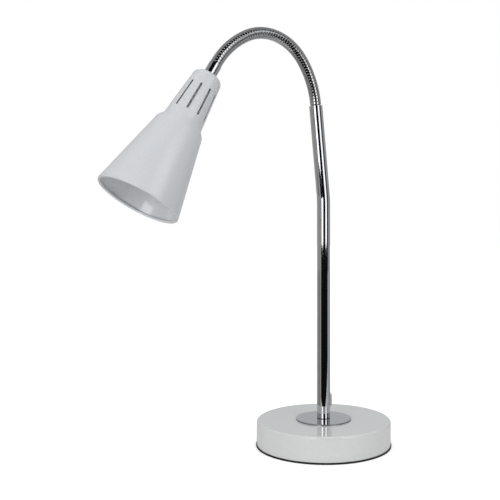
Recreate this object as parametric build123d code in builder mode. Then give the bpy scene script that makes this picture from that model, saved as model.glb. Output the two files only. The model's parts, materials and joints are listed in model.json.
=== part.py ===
"""Table lamp: a weighted round base, a bent tube stem, a ribbed flexible neck and a slotted cone shade.

The origin is the centre of the base's underside, +Z is up, and the neck leans over towards -X.
Lengths are in millimetres and angles in degrees.
"""
from math import cos, degrees, radians, sin, tan
import os

from build123d import *

os.makedirs("parts", exist_ok=True)

# Clearances that several pieces share
fit_gap = 0.05  # between pieces pressed, screwed or slipped together
hole_gap = 0.3  # round a tube or screw that only passes through
ball_gap = 0.08  # between the ball and the cup of two neck links

# Base: rubber pad, steel bottom plate, cast weight and pressed steel cover
base_r = 81.0
base_top = 30.6
pad_t = 2.0
pad_proud = 1.2
pad_edge = 0.5
plate_t = 2.0
cover_wall = 1.2
cover_edge = 3.0
weight_gap = 7.3  # between the weight and the cover's wall
weight_t = 12.0
weight_edge = 2.0

# Three countersunk screws hold the bottom plate to bosses under the weight
screw_count = 3
screw_ring_r = 52.0
screw_r = 2.0
screw_len = 9.0
screw_head_r = 3.8
boss_r = 7.0

# Threaded tube with washers and a nut, which clamps the base together
nipple_r = 5.0
nipple_bore = 3.4
nipple_below = 1.2
washer_r = 11.0
washer_t = 1.5
lock_washer_r = 8.5
lock_washer_t = 2.0
lock_washer_slit = 1.2
nut_across = 17.0
nut_t = 5.5

# Disc at the foot of the stem
disc_r = 33.3
disc_t = 1.5
disc_bevel = 0.8

# Stem: a tube that stands upright, then leans by the tilt
stem_r = 8.0
stem_wall = 1.0
stem_bend_z = 297.0
stem_bend_r = 150.0
stem_tilt = 6.2
stem_lean_len = 113.0
foot_len = 12.0

# Cord bush low on the back of the stem
gland_z = 56.5
gland_r = 3.5
gland_bore = 2.7
gland_proud = 2.4
gland_width = 8.6
gland_above = 5.2
gland_below = 12.2
gland_inside = 2.0
gland_groove_z = 50.5
gland_groove = 1.1
gland_edge = 1.4

# Insulated wires inside the stem and the head
wire_r = 0.95
wire_apart = 2.6
wire_turn_r = 3.5
wire_tail = 2.5
wire_top_cover = 3.0

# Flexible neck: ribbed hose in rigid lengths that turn on one another
hose_r = 6.7
hose_root_r = 6.1
hose_bore = 4.0
rib_pitch = 3.55
rib_crest = 1.3
ribs_per_link = 4
ball_r = 5.9
insert_len = 20.0
lower_links, lower_bend_r = 4, 100.5
middle_links, middle_bend_r = 6, 63.6
upper_links, upper_bend_r = 4, 98.8

# Ferrule between the neck and the shade, with a threaded spigot
ferrule_r = 7.2
ferrule_len = 15.8
ferrule_bore = 3.5
ferrule_edge = 0.4
spigot_r = 5.0
spigot_len = 14.0

# Shade: outer radii, and heights above the mouth along its axis
shade_len = 161.0
shade_wall = 0.7
crown_r = 16.1
crown_edge = 7.0
collar_foot_r = 22.0
collar_foot_h = 100.0
collar_foot_edge = 5.0
shoulder_r = 27.1
shoulder_h = 89.6
shoulder_edge = 7.0
mouth_r = 45.8
bead_r = 0.95

# Vent slots round the collar of the shade
slot_count = 10
slot_len = 34.5
slot_width = 2.4
slot_mid_h = 125.0
slot_phase = 23.1

# Washer and thin nut that hold the shade on the spigot
shade_washer_r = 9.3
shade_washer_t = 1.0
shade_nut_across = 14.0
shade_nut_t = 3.0

# Lamp holder for a small screw cap bulb
holder_r = 14.0
holder_gap = 0.5
cap_len = 15.0
cap_wall = 1.6
cap_top_t = 2.5
cap_edge = 3.0
hub_r = 8.0
hub_len = 7.0
skirt_len = 37.3
skirt_wall = 1.6
skirt_tongue_len = 5.0
carrier_drop = 11.0
ledge_r = 9.0
ledge_t = 2.0
carrier_r = 10.9
carrier_t = 9.0
shell_bore = 7.1
shell_wall = 0.4
shell_len = 22.0
shell_collar_r = 7.9
shell_collar_len = 4.4
contact_width = 4.0
contact_t = 0.4
contact_drop = 3.2
contact_reach = 2.0
contact_root = 5.2
terminal_r = 1.6
terminal_head_r = 2.5
terminal_head_t = 1.6
terminal_len = 5.0
terminal_x = 4.2
terminal_apart = 11.0

# Heights in the base, worked out from the sizes above
plate_top = pad_t + plate_t
cover_under = base_top - cover_wall
weight_r = base_r - cover_wall - weight_gap
weight_under = cover_under - weight_t
washer_under = weight_under - washer_t
lock_washer_under = washer_under - lock_washer_t
nut_under = lock_washer_under - nut_t
disc_top = base_top + disc_t
plate_r = base_r - cover_wall - hole_gap
screw_head_t = screw_head_r - screw_r

# Stem and neck line, worked out from the sizes above
stem_bend_run = stem_bend_r * tan(radians(stem_tilt) / 2)
stem_lean = Vector(-sin(radians(stem_tilt)), 0, cos(radians(stem_tilt)))
stem_end = Plane(
    origin=Vector(0, 0, stem_bend_z) + stem_lean * stem_lean_len,
    x_dir=(0, 1, 0),
    z_dir=stem_lean,
)
rib_gap = rib_pitch - rib_crest
link_len = ribs_per_link * rib_pitch
link_bend_radii = (
    [lower_bend_r] * lower_links + [middle_bend_r] * middle_links + [upper_bend_r] * upper_links
)


def along(start, bend_r, run):
    """Plane across the hose after this run of an arc that leaves the plane start."""
    turn = run / bend_r
    return Plane(
        origin=start.origin + start.z_dir * bend_r * sin(turn) + start.y_dir * bend_r * (1 - cos(turn)),
        x_dir=(0, 1, 0),
        z_dir=start.z_dir * cos(turn) + start.y_dir * sin(turn),
    )


# Each joint of the neck is the centre of a ball, half a rib gap past the piece that carries it
neck_joints = [stem_end.offset(rib_gap / 2)]
for bend_r in link_bend_radii:
    neck_joints.append(along(neck_joints[-1], bend_r, link_len))
neck_end = neck_joints[-1]

# Head: heights are measured from the shade's mouth, up its axis
ferrule_top = shade_len + ferrule_len
mouth_centre = neck_end.origin + neck_end.z_dir * (ferrule_top + rib_gap / 2)
head_up = neck_end.z_dir * -1
head_out = neck_end.y_dir
head_axis = Axis(mouth_centre, head_up)
head_side = Plane(origin=mouth_centre, x_dir=head_out, z_dir=head_out.cross(head_up))
head_across = Plane(origin=mouth_centre, x_dir=head_out, z_dir=head_up)
crown_under = shade_len - shade_wall
shade_nut_under = crown_under - shade_washer_t - shade_nut_t
cap_top = shade_nut_under - holder_gap
cap_under = cap_top - cap_len
skirt_under = cap_under - skirt_len
carrier_under = cap_under - carrier_drop
ledge_under = carrier_under - ledge_t
carrier_top = carrier_under + carrier_t
low_centred = (Align.CENTER, Align.CENTER, Align.MIN)


def ring(plane, outer_r, inner_r, height):
    """Add a flat ring that stands on the plane."""
    with BuildSketch(plane) as flat:
        Circle(outer_r)
        Circle(inner_r, mode=Mode.SUBTRACT)
    extrude(flat.sketch, amount=height)


def finish(piece, name):
    """Name a finished piece, write it to its own file and say how large it is."""
    piece.part.label = name
    export_step(piece.part, f"parts/{name}.step")
    print(f"{name}: {piece.part.volume / 1000:.2f} cm3")


# Rubber pad that the lamp stands on, a little wider than the cover
with BuildPart() as base_pad:
    with BuildSketch():
        Circle(base_r + pad_proud)
    extrude(amount=pad_t)
    fillet(base_pad.edges(), radius=pad_edge)
finish(base_pad, "base_pad")

# Steel plate that closes the base from below
with BuildPart() as bottom_plate:
    with BuildSketch(Plane.XY.offset(pad_t)):
        Circle(plate_r)
    extrude(amount=plate_t)
    with Locations(Plane(origin=(0, 0, pad_t), x_dir=(1, 0, 0), z_dir=(0, 0, -1))):
        with PolarLocations(screw_ring_r, screw_count):
            CounterSinkHole(screw_r + hole_gap, screw_head_r + hole_gap, counter_sink_angle=90)
finish(bottom_plate, "bottom_plate")

# Countersunk screws, heads flush with the underside of the plate
with BuildPart() as plate_screws:
    with Locations(Plane.XY.offset(pad_t)):
        with PolarLocations(screw_ring_r, screw_count):
            Cone(screw_head_r, screw_r, screw_head_t, align=low_centred)
            Cylinder(screw_r, screw_len, align=low_centred)
finish(plate_screws, "plate_screws")

# Cast iron weight under the top of the cover, on three bosses that reach the plate
with BuildPart() as base_weight:
    with BuildSketch(Plane.XY.offset(weight_under)):
        Circle(weight_r)
    extrude(amount=weight_t)
    chamfer(base_weight.edges(), length=weight_edge)
    with BuildSketch(Plane.XY.offset(plate_top)):
        with PolarLocations(screw_ring_r, screw_count):
            Circle(boss_r)
    extrude(amount=weight_under + weight_t / 2 - plate_top)
    with BuildSketch(Plane.XY.offset(plate_top)):
        with PolarLocations(screw_ring_r, screw_count):
            Circle(screw_r + fit_gap)
    extrude(amount=screw_len, mode=Mode.SUBTRACT)
    with BuildSketch(Plane.XY.offset(weight_under)):
        Circle(nipple_r + hole_gap)
    extrude(amount=weight_t, mode=Mode.SUBTRACT)
finish(base_weight, "base_weight")

# Flat washer under the weight
with BuildPart() as base_washer:
    ring(Plane.XY.offset(washer_under), washer_r, nipple_r + hole_gap, washer_t)
finish(base_washer, "base_washer")

# Split spring washer
with BuildPart() as lock_washer:
    ring(Plane.XY.offset(lock_washer_under), lock_washer_r, nipple_r + hole_gap, lock_washer_t)
    with Locations((0, 0, lock_washer_under)):
        Box(
            lock_washer_r + hole_gap,
            lock_washer_slit,
            lock_washer_t,
            align=(Align.MIN, Align.CENTER, Align.MIN),
            mode=Mode.SUBTRACT,
        )
finish(lock_washer, "lock_washer")

# Hexagon nut on the threaded tube
with BuildPart() as base_nut:
    with BuildSketch(Plane.XY.offset(nut_under)):
        RegularPolygon(nut_across / 2, 6, major_radius=False)
        Circle(nipple_r + fit_gap, mode=Mode.SUBTRACT)
    extrude(amount=nut_t)
finish(base_nut, "base_nut")

# Threaded tube from the nut up into the foot of the stem
with BuildPart() as base_nipple:
    nipple_low = nut_under - nipple_below
    ring(Plane.XY.offset(nipple_low), nipple_r, nipple_bore, disc_top + foot_len - nipple_low)
finish(base_nipple, "base_nipple")

# Pressed cover: flat top with a rounded edge and a straight wall down to the pad
with BuildPart() as base_cover:
    with BuildSketch(Plane.XZ):
        with BuildLine():
            FilletPolyline(
                (nipple_r + hole_gap, base_top),
                (base_r, base_top),
                (base_r, pad_t),
                radius=cover_edge,
            )
            offset(amount=cover_wall, side=Side.RIGHT)
        make_face()
    revolve(axis=Axis.Z)
finish(base_cover, "base_cover")

# Bevelled disc under the foot of the stem
with BuildPart() as stem_disc:
    ring(Plane.XY.offset(base_top), disc_r, nipple_r + hole_gap, disc_t)
    chamfer(stem_disc.edges().group_by(Axis.Z)[-1].sort_by(SortBy.RADIUS)[-1], length=disc_bevel)
finish(stem_disc, "stem_disc")

# Threaded plug pressed into the foot of the stem
with BuildPart() as stem_foot:
    ring(Plane.XY.offset(disc_top), stem_r - stem_wall - fit_gap, nipple_r + fit_gap, foot_len)
finish(stem_foot, "stem_foot")

# Stem tube: upright, a gentle bend, then straight to the neck, with a hole for the cord bush
with BuildPart() as stem_tube:
    with BuildLine(Plane.XZ) as stem_path:
        upright = Line((0, disc_top), (0, stem_bend_z - stem_bend_run))
        stem_bend = JernArc(upright @ 1, upright % 1, radius=stem_bend_r, arc_size=stem_tilt)
        Line(stem_bend @ 1, (stem_end.origin.X, stem_end.origin.Z))
    with BuildSketch(Plane.XY.offset(disc_top)):
        Circle(stem_r)
        Circle(stem_r - stem_wall, mode=Mode.SUBTRACT)
    sweep(path=stem_path.line)
    with BuildSketch(Plane(origin=(0, 0, gland_z), z_dir=(1, 0, 0))):
        Circle(gland_r + fit_gap)
    extrude(amount=stem_r + gland_proud, mode=Mode.SUBTRACT)
finish(stem_tube, "stem_tube")

# Cord bush: an oblong saddle on the tube with a short bored spigot through its wall
with BuildPart() as cord_gland:
    gland_mid_z = gland_z + (gland_above - gland_below) / 2
    with BuildSketch(Plane(origin=(0, 0, gland_mid_z), x_dir=(0, 1, 0), z_dir=(1, 0, 0))):
        SlotOverall(gland_above + gland_below, gland_width, rotation=90)
    extrude(amount=stem_r + gland_proud)
    fillet(cord_gland.faces().sort_by(Axis.X)[-1].edges(), radius=gland_edge)
    with Locations((stem_r + gland_proud, 0, gland_groove_z)):
        Cylinder(gland_groove, gland_width, rotation=(90, 0, 0), mode=Mode.SUBTRACT)
    with BuildSketch(Plane.XY.offset(gland_mid_z - gland_below)):
        Circle(stem_r + fit_gap)
    extrude(amount=2 * (gland_above + gland_below), mode=Mode.SUBTRACT)
    with BuildSketch(Plane(origin=(stem_r - stem_wall - gland_inside, 0, gland_z), z_dir=(1, 0, 0))):
        Circle(gland_r)
    extrude(amount=stem_wall + gland_inside + gland_proud / 2)
    with BuildSketch(Plane(origin=(0, 0, gland_z), z_dir=(1, 0, 0))):
        Circle(gland_bore)
    extrude(amount=stem_r + gland_proud, mode=Mode.SUBTRACT)
finish(cord_gland, "cord_gland")

# Two wires from behind the cord bush up the stem, bent with it
with BuildPart() as stem_leads:
    wire_top = stem_end.origin - stem_lean * wire_top_cover
    wire_low_x = stem_r - stem_wall - gland_inside - fit_gap
    for side in (-wire_apart / 2, wire_apart / 2):
        with BuildLine(Plane.XZ.offset(-side)) as wire_path:
            FilletPolyline(
                (wire_low_x, gland_z),
                (0, gland_z),
                (0, stem_bend_z),
                (wire_top.X, wire_top.Z),
                radius=[wire_turn_r, stem_bend_r],
            )
        with BuildSketch(Plane(origin=(wire_low_x, side, gland_z), z_dir=(-1, 0, 0))):
            Circle(wire_r)
        sweep(path=wire_path.line)
finish(stem_leads, "stem_leads")

# Insert pressed into the top of the stem, with the ball that carries the first neck link
with BuildPart() as neck_insert:
    with BuildSketch(stem_end):
        Circle(stem_r - stem_wall - fit_gap)
    extrude(amount=-insert_len)
    with Locations(neck_joints[0]):
        Sphere(ball_r)
    with BuildSketch(neck_joints[0].offset(ball_r)):
        Circle(hose_bore)
    extrude(amount=-insert_len - 2 * ball_r, mode=Mode.SUBTRACT)
finish(neck_insert, "neck_insert")


def neck_link(start, bend_r):
    """One length of ribbed hose: ribs along its arc, a cup at its start and a ball at its end."""
    end = along(start, bend_r, link_len)
    with BuildPart() as link:
        for rib in range(ribs_per_link):
            foot = rib * rib_pitch
            crest = foot + rib_gap / 2
            for run, rib_r in (
                (foot, hose_root_r),
                (crest, hose_r),
                (crest + rib_crest, hose_r),
                (foot + rib_pitch, hose_root_r),
            ):
                with BuildSketch(along(start, bend_r, run)):
                    Circle(rib_r)
            loft(ruled=True)
        split(bisect_by=along(start, bend_r, rib_gap / 2), keep=Keep.TOP)
        split(bisect_by=along(start, bend_r, link_len - rib_gap / 2), keep=Keep.BOTTOM)
        with Locations(end):
            Sphere(ball_r)
        with Locations(start):
            Sphere(ball_r + ball_gap, mode=Mode.SUBTRACT)
        with BuildSketch(start):
            Circle(hose_bore)
        revolve(
            axis=Axis(start.origin + start.y_dir * bend_r, (0, -1, 0)),
            revolution_arc=degrees(link_len / bend_r),
            mode=Mode.SUBTRACT,
        )
        with BuildSketch(end):
            Circle(hose_bore)
        extrude(amount=ball_r, mode=Mode.SUBTRACT)
    return link


# Neck links, from the stem to the head
for number, bend_r in enumerate(link_bend_radii):
    finish(neck_link(neck_joints[number], bend_r), f"neck_link_{number + 1:02d}")

# Ferrule: a turned tube with a cup for the last ball and a threaded spigot below
with BuildPart() as head_ferrule:
    with BuildSketch(head_across.offset(shade_len)):
        Circle(ferrule_r)
    extrude(amount=ferrule_len)
    chamfer(head_ferrule.edges(), length=ferrule_edge)
    with BuildSketch(head_across.offset(shade_len - spigot_len)):
        Circle(spigot_r)
    extrude(amount=spigot_len)
    with BuildSketch(head_across.offset(shade_len - spigot_len)):
        Circle(ferrule_bore)
    extrude(amount=spigot_len + ferrule_len, mode=Mode.SUBTRACT)
    with Locations(neck_end):
        Sphere(ball_r + ball_gap, mode=Mode.SUBTRACT)
finish(head_ferrule, "head_ferrule")

# Shade: one spun shell from the flat crown over the collar and shoulder to the rolled rim
with BuildPart() as shade:
    with BuildSketch(head_side):
        with BuildLine():
            FilletPolyline(
                (spigot_r + hole_gap, shade_len),
                (crown_r, shade_len),
                (collar_foot_r, collar_foot_h),
                (shoulder_r, shoulder_h),
                (mouth_r, bead_r),
                radius=[crown_edge, collar_foot_edge, shoulder_edge],
            )
            offset(amount=shade_wall, side=Side.RIGHT)
        make_face()
        with Locations((mouth_r - bead_r, bead_r)):
            Circle(bead_r)
    revolve(axis=head_axis)
    for slot in range(slot_count):
        turn = slot_phase + slot * 360 / slot_count
        slot_side = head_across.offset(slot_mid_h).rotated((0, 0, turn))
        with BuildSketch(Plane(origin=slot_side.origin, x_dir=head_up, z_dir=slot_side.x_dir)):
            SlotOverall(slot_len, slot_width)
        extrude(amount=shoulder_r, mode=Mode.SUBTRACT)
finish(shade, "shade")

# Washer and thin nut inside the crown
with BuildPart() as shade_washer:
    ring(
        head_across.offset(crown_under - shade_washer_t),
        shade_washer_r,
        spigot_r + hole_gap,
        shade_washer_t,
    )
finish(shade_washer, "shade_washer")

with BuildPart() as shade_nut:
    with BuildSketch(head_across.offset(shade_nut_under)):
        RegularPolygon(shade_nut_across / 2, 6, major_radius=False)
        Circle(spigot_r + fit_gap, mode=Mode.SUBTRACT)
    extrude(amount=shade_nut_t)
finish(shade_nut, "shade_nut")

# Cap of the lamp holder, screwed on the spigot by its hub
with BuildPart() as holder_cap:
    with BuildSketch(head_across.offset(cap_under)):
        Circle(holder_r)
    extrude(amount=cap_len)
    fillet(holder_cap.faces().sort_by(head_axis)[-1].edges(), radius=cap_edge)
    with BuildSketch(head_across.offset(cap_under)):
        Circle(holder_r - cap_wall)
    extrude(amount=cap_len - cap_top_t, mode=Mode.SUBTRACT)
    with BuildSketch(head_across.offset(cap_top - hub_len)):
        Circle(hub_r)
    extrude(amount=hub_len - cap_top_t)
    with BuildSketch(head_across.offset(cap_under)):
        Circle(spigot_r + fit_gap)
    extrude(amount=cap_len, mode=Mode.SUBTRACT)
finish(holder_cap, "holder_cap")

# Skirt of the lamp holder: its tongue sits in the cap and its ledge carries the contact carrier
with BuildPart() as holder_skirt:
    tongue_r = holder_r - cap_wall - fit_gap
    with BuildSketch(head_side):
        with BuildLine():
            Polyline(
                (holder_r - skirt_wall, skirt_under),
                (holder_r, skirt_under),
                (holder_r, cap_under),
                (tongue_r, cap_under),
                (tongue_r, cap_under + skirt_tongue_len),
                (carrier_r + fit_gap, cap_under + skirt_tongue_len),
                (carrier_r + fit_gap, carrier_under),
                (ledge_r, carrier_under),
                (ledge_r, ledge_under),
                (holder_r - skirt_wall, ledge_under),
                close=True,
            )
        make_face()
    revolve(axis=head_axis)
finish(holder_skirt, "holder_skirt")

# Contact carrier with two holes for the terminal screws
with BuildPart() as contact_carrier:
    with BuildSketch(head_across.offset(carrier_under)):
        Circle(carrier_r)
    extrude(amount=carrier_t)
    with BuildSketch(head_across.offset(carrier_top - terminal_len)):
        with Locations((terminal_x, -terminal_apart / 2), (terminal_x, terminal_apart / 2)):
            Circle(terminal_r + fit_gap)
    extrude(amount=terminal_len, mode=Mode.SUBTRACT)
finish(contact_carrier, "contact_carrier")

# Brass shell that the bulb's cap screws into, hung from the carrier by a wider collar round the contact
with BuildPart() as screw_shell:
    with BuildSketch(head_side):
        with BuildLine():
            Polyline(
                (shell_bore, carrier_under - shell_len),
                (shell_bore, carrier_under - shell_collar_len),
                (shell_collar_r, carrier_under - shell_collar_len),
                (shell_collar_r, carrier_under),
            )
            offset(amount=shell_wall, side=Side.RIGHT)
        make_face()
    revolve(axis=head_axis)
finish(screw_shell, "screw_shell")

# Sprung tongue that touches the tip of the bulb's cap
with BuildPart() as centre_contact:
    with BuildSketch(head_side):
        with BuildLine():
            Polyline(
                (contact_root, carrier_under - contact_t / 2),
                (contact_reach, carrier_under - contact_t / 2),
                (-contact_reach, carrier_under - contact_drop),
            )
            offset(amount=contact_t / 2)
        make_face()
    extrude(amount=contact_width / 2, both=True)
finish(centre_contact, "centre_contact")

# Terminal screws on top of the carrier
with BuildPart() as terminal_screws:
    for side in (-terminal_apart / 2, terminal_apart / 2):
        with Locations(head_across.offset(carrier_top)):
            with Locations((terminal_x, side)):
                Cylinder(terminal_head_r, terminal_head_t, align=low_centred)
                Cylinder(terminal_r, terminal_len, align=(Align.CENTER, Align.CENTER, Align.MAX))
finish(terminal_screws, "terminal_screws")

# Two wires from the ferrule down through the spigot to the carrier
with BuildPart() as head_leads:
    head_front = Plane(origin=mouth_centre, x_dir=(0, 1, 0), z_dir=Vector(0, 1, 0).cross(head_up))
    wire_high = ferrule_top - ball_r - wire_top_cover
    spread_h = shade_len - spigot_len
    for side in (-1, 1):
        near, far = side * wire_apart / 2, side * terminal_apart / 2
        with BuildLine(head_front) as lead_path:
            FilletPolyline(
                (near, wire_high),
                (near, spread_h),
                (far, carrier_top + wire_tail),
                (far, carrier_top),
                radius=wire_tail / 2,
            )
        with BuildSketch(Plane(origin=lead_path.line @ 0, z_dir=lead_path.line % 0)):
            Circle(wire_r)
        sweep(path=lead_path.line)
finish(head_leads, "head_leads")

# Places that fit the lamp to others, for checking
print("stem end", stem_end.origin, "neck end", neck_end.origin)
print("mouth", mouth_centre, "shade axis", head_up)
for number, joint in enumerate(neck_joints):
    print("joint", number, joint.origin, "ahead", joint.z_dir)
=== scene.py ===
# %% [markdown]
# # A flexible table lamp
# This lesson dresses a table lamp: a heavy enamelled base, a chromed stem, a ribbed neck that stays
# where it is put, and a slotted shade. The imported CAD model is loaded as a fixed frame. Each piece
# that shows is then modelled again with smooth, fine surfaces, in the same place and at the same
# size, and rides on the body that it belongs to. All lengths are in metres.

# %% Load the frame
import json
from math import atan2, cos, hypot, pi, radians, sin, tan

import bpy
from mathutils import Matrix, Vector


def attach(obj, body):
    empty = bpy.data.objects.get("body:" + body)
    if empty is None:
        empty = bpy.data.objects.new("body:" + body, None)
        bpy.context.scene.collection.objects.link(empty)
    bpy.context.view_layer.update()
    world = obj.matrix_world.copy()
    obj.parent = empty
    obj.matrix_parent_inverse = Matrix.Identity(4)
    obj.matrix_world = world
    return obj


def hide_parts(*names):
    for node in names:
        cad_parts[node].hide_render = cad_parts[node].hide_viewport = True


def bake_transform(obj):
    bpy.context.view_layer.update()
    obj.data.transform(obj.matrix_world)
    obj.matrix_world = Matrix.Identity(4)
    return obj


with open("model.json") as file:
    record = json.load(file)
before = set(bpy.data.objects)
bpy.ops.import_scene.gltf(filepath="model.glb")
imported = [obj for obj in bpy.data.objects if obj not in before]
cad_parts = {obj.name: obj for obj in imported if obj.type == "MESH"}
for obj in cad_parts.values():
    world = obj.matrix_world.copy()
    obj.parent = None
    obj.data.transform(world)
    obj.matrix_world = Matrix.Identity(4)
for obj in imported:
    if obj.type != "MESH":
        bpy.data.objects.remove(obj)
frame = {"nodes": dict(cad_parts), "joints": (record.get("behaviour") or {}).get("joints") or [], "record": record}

bpy.context.view_layer.update()

mm = 0.001
nodes = frame["nodes"]
joints = frame["joints"]
record = frame["record"]

# %% [markdown]
# ## Helpers for modelling
# Most of this lamp is turned, spun or drawn, so it is round about an axis. By hand, one adds a circle,
# extrudes its edge, scales the new edge and goes on up the profile. `turn` does just that. Loops are
# then picked in code by their radius and height, and rounded with the bevel operator.

# %% Helpers: selection and edit mode
same_point = 0.002 * mm  # points closer than this are merged


def only(piece):
    """Make this piece the one that is selected and active."""
    bpy.ops.object.select_all(action="DESELECT")
    piece.select_set(True)
    bpy.context.view_layer.objects.active = piece


def edit(piece, kind="EDGE"):
    """Open this piece in edit mode with nothing selected."""
    only(piece)
    bpy.ops.object.mode_set(mode="EDIT")
    bpy.ops.mesh.select_mode(type=kind)
    bpy.ops.mesh.select_all(action="DESELECT")


def leave():
    """Go back to object mode."""
    bpy.ops.object.mode_set(mode="OBJECT")


def clear(piece, kind="EDGE"):
    """Stay in object mode with nothing of this mesh selected, so that code can pick what it needs."""
    edit(piece, kind)
    leave()


def apply_all(piece):
    """Apply the piece's modifiers in their order."""
    only(piece)
    for modifier in list(piece.modifiers):
        bpy.ops.object.modifier_apply(modifier=modifier.name)


def outward(piece):
    """Merge doubled points and turn all faces outwards."""
    edit(piece, "VERT")
    bpy.ops.mesh.select_all(action="SELECT")
    bpy.ops.mesh.remove_doubles(threshold=same_point)
    bpy.ops.mesh.normals_make_consistent(inside=False)
    leave()


def smooth(piece, angle=35):
    """Shade smooth, but keep edges sharper than the angle."""
    only(piece)
    bpy.ops.object.shade_smooth_by_angle(angle=radians(angle))


def place(piece, where):
    """Move the mesh, not the object, so that the object stays at the origin."""
    only(piece)
    piece.matrix_world = where
    bpy.ops.object.transform_apply(location=True, rotation=True, scale=True)


print("points merge below", same_point)

# %% Helpers: turned pieces
on_loop = 0.02 * mm  # how near a point lies to the loop that it belongs to


def turn(name, rings, steps):
    """A turned piece: a circle is extruded and scaled from ring to ring, each a (radius, height)."""
    radius, height = rings[0]
    bpy.ops.object.select_all(action="DESELECT")
    bpy.ops.mesh.primitive_circle_add(vertices=steps, radius=radius, location=(0, 0, height))
    piece = bpy.context.object
    piece.name = piece.data.name = name
    bpy.ops.object.transform_apply(location=True)
    bpy.ops.object.mode_set(mode="EDIT")
    bpy.ops.mesh.select_all(action="SELECT")
    for next_radius, next_height in rings[1:]:
        bpy.ops.mesh.extrude_edges_move(
            TRANSFORM_OT_translate={"value": (0, 0, next_height - height)}
        )
        ratio = next_radius / radius
        bpy.ops.transform.resize(value=(ratio, ratio, 1), center_override=(0, 0, next_height))
        radius, height = next_radius, next_height
    leave()
    outward(piece)
    return piece


def round_loops(piece, places, width, segments):
    """Round the loops of edges that lie at each (radius, height) with a bevel."""
    clear(piece)
    mesh = piece.data
    for edge in mesh.edges:
        ends = [mesh.vertices[i].co for i in edge.vertices]
        edge.select = any(
            all(abs(hypot(p.x, p.y) - r) < on_loop and abs(p.z - z) < on_loop for p in ends)
            for r, z in places
        )
    bpy.ops.object.mode_set(mode="EDIT")
    bpy.ops.mesh.bevel(offset=width, offset_type="OFFSET", segments=segments, profile=0.5)
    leave()


print("loops are found within", on_loop)

# %% [markdown]
# ## The camera
# The photograph was taken from a little above half the lamp's height, with the mouth of the shade
# towards the lower left. The lens and place below were worked out from the rims of the base and that
# mouth. The camera is level, and the picture's frame is shifted a little, as when a picture is cropped.

# %% Camera
camera_turn = radians(37.32)
ahead = Vector((sin(camera_turn), cos(camera_turn), 0))
to_right = Vector((cos(camera_turn), -sin(camera_turn), 0))
camera_away = 0.9442
camera_height = 0.2703
camera_side = -0.0334
bpy.ops.object.camera_add(
    location=-ahead * camera_away + to_right * camera_side + Vector((0, 0, camera_height)),
    rotation=(pi / 2, 0, -camera_turn),
)
camera = bpy.context.object
camera.data.lens = 55.99
camera.data.sensor_width = 36
camera.data.shift_x = -0.0921
camera.data.shift_y = -0.0573
bpy.context.scene.camera = camera
print("camera at", camera.location)

# %% [markdown]
# ## Where the neck and the head are
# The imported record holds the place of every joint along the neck, and the axis of the lamp holder.
# Reading them here keeps each piece where the CAD model has it, with no fitting.

# %% Places from the record
neck_joints = [Vector(joint["pos_m"]) for joint in joints]
lamp_socket = {mount["name"]: mount for mount in record["mounts"]}["lamp_socket"]
head_up = -Vector(lamp_socket["axis"]).normalized()
socket = Vector(lamp_socket["pos_m"])
socket_height = 116.6 * mm  # of the socket above the mouth of the shade
mouth_centre = socket - head_up * socket_height
head_out = Vector((head_up.z, 0, -head_up.x))
head_place = Matrix.Translation(mouth_centre) @ Matrix(
    (
        (head_out.x, 0, head_up.x, 0),
        (head_out.y, 1, head_up.y, 0),
        (head_out.z, 0, head_up.z, 0),
        (0, 0, 0, 1),
    )
)
print("mouth centre", mouth_centre, "axis", head_up)

# %% [markdown]
# ## The base
# The real base is a pressed steel cover over a cast weight, with a rubber pad that sticks out a little
# at the foot. Its top edge is rounded by the press. A cylinder with a bevel would do for the outside,
# but the cover is a thin shell, so it is turned as one: up the wall, over the top, and back inside.
# A ring just beyond each rounded edge keeps the flat faces flat in the shading, which gloss shows.

# %% Base cover and pad
base_r, base_top, pad_t, cover_wall = 81.0 * mm, 30.6 * mm, 1.9 * mm, 1.2 * mm
hole_r = 5.3 * mm
foot_ring, edge_ring = 0.8 * mm, 3.4 * mm  # from an edge to the ring that keeps its faces flat
edge_round, inner_round, foot_round = 3.0 * mm, 1.8 * mm, 0.25 * mm
inner_r, inner_top = base_r - cover_wall, base_top - cover_wall
base_shell = turn(
    "base_shell",
    [(base_r, pad_t), (base_r, pad_t + foot_ring), (base_r, base_top - edge_ring),
     (base_r, base_top), (base_r - edge_ring, base_top), (hole_r, base_top), (hole_r, inner_top),
     (inner_r, inner_top), (inner_r, pad_t), (base_r, pad_t)],
    steps=256,
)
round_loops(base_shell, [(base_r, base_top)], edge_round, 12)
round_loops(base_shell, [(inner_r, inner_top)], inner_round, 6)
round_loops(base_shell, [(base_r, pad_t)], foot_round, 3)
smooth(base_shell)

pad_r, pad_start = 81.8 * mm, 2 * mm
foot_pad = turn(
    "foot_pad", [(pad_start, 0), (pad_r, 0), (pad_r, pad_t), (pad_start, pad_t)], steps=256
)
edit(foot_pad, "VERT")
bpy.ops.mesh.select_non_manifold()
bpy.ops.mesh.edge_face_add()
leave()
round_loops(foot_pad, [(pad_r, 0), (pad_r, pad_t)], foot_round, 3)
smooth(foot_pad)
print("base faces", len(base_shell.data.polygons), "pad faces", len(foot_pad.data.polygons))

# %% [markdown]
# ## The disc and the stem
# A chromed disc with a small rounded rim covers the hole in the base. The stem is a 16 mm tube. A
# bender gives it one gentle bend, so its line is straight, then an arc, then straight again. In
# Blender that is a circle that is extruded up, spun about the middle of the bend, and extruded along
# the lean. A curve with a round bevel would also work, but this way the bend is exact and the rings
# are few. Short runs at both ends and round the hole for the cord keep the long faces even in the
# shading.

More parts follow.
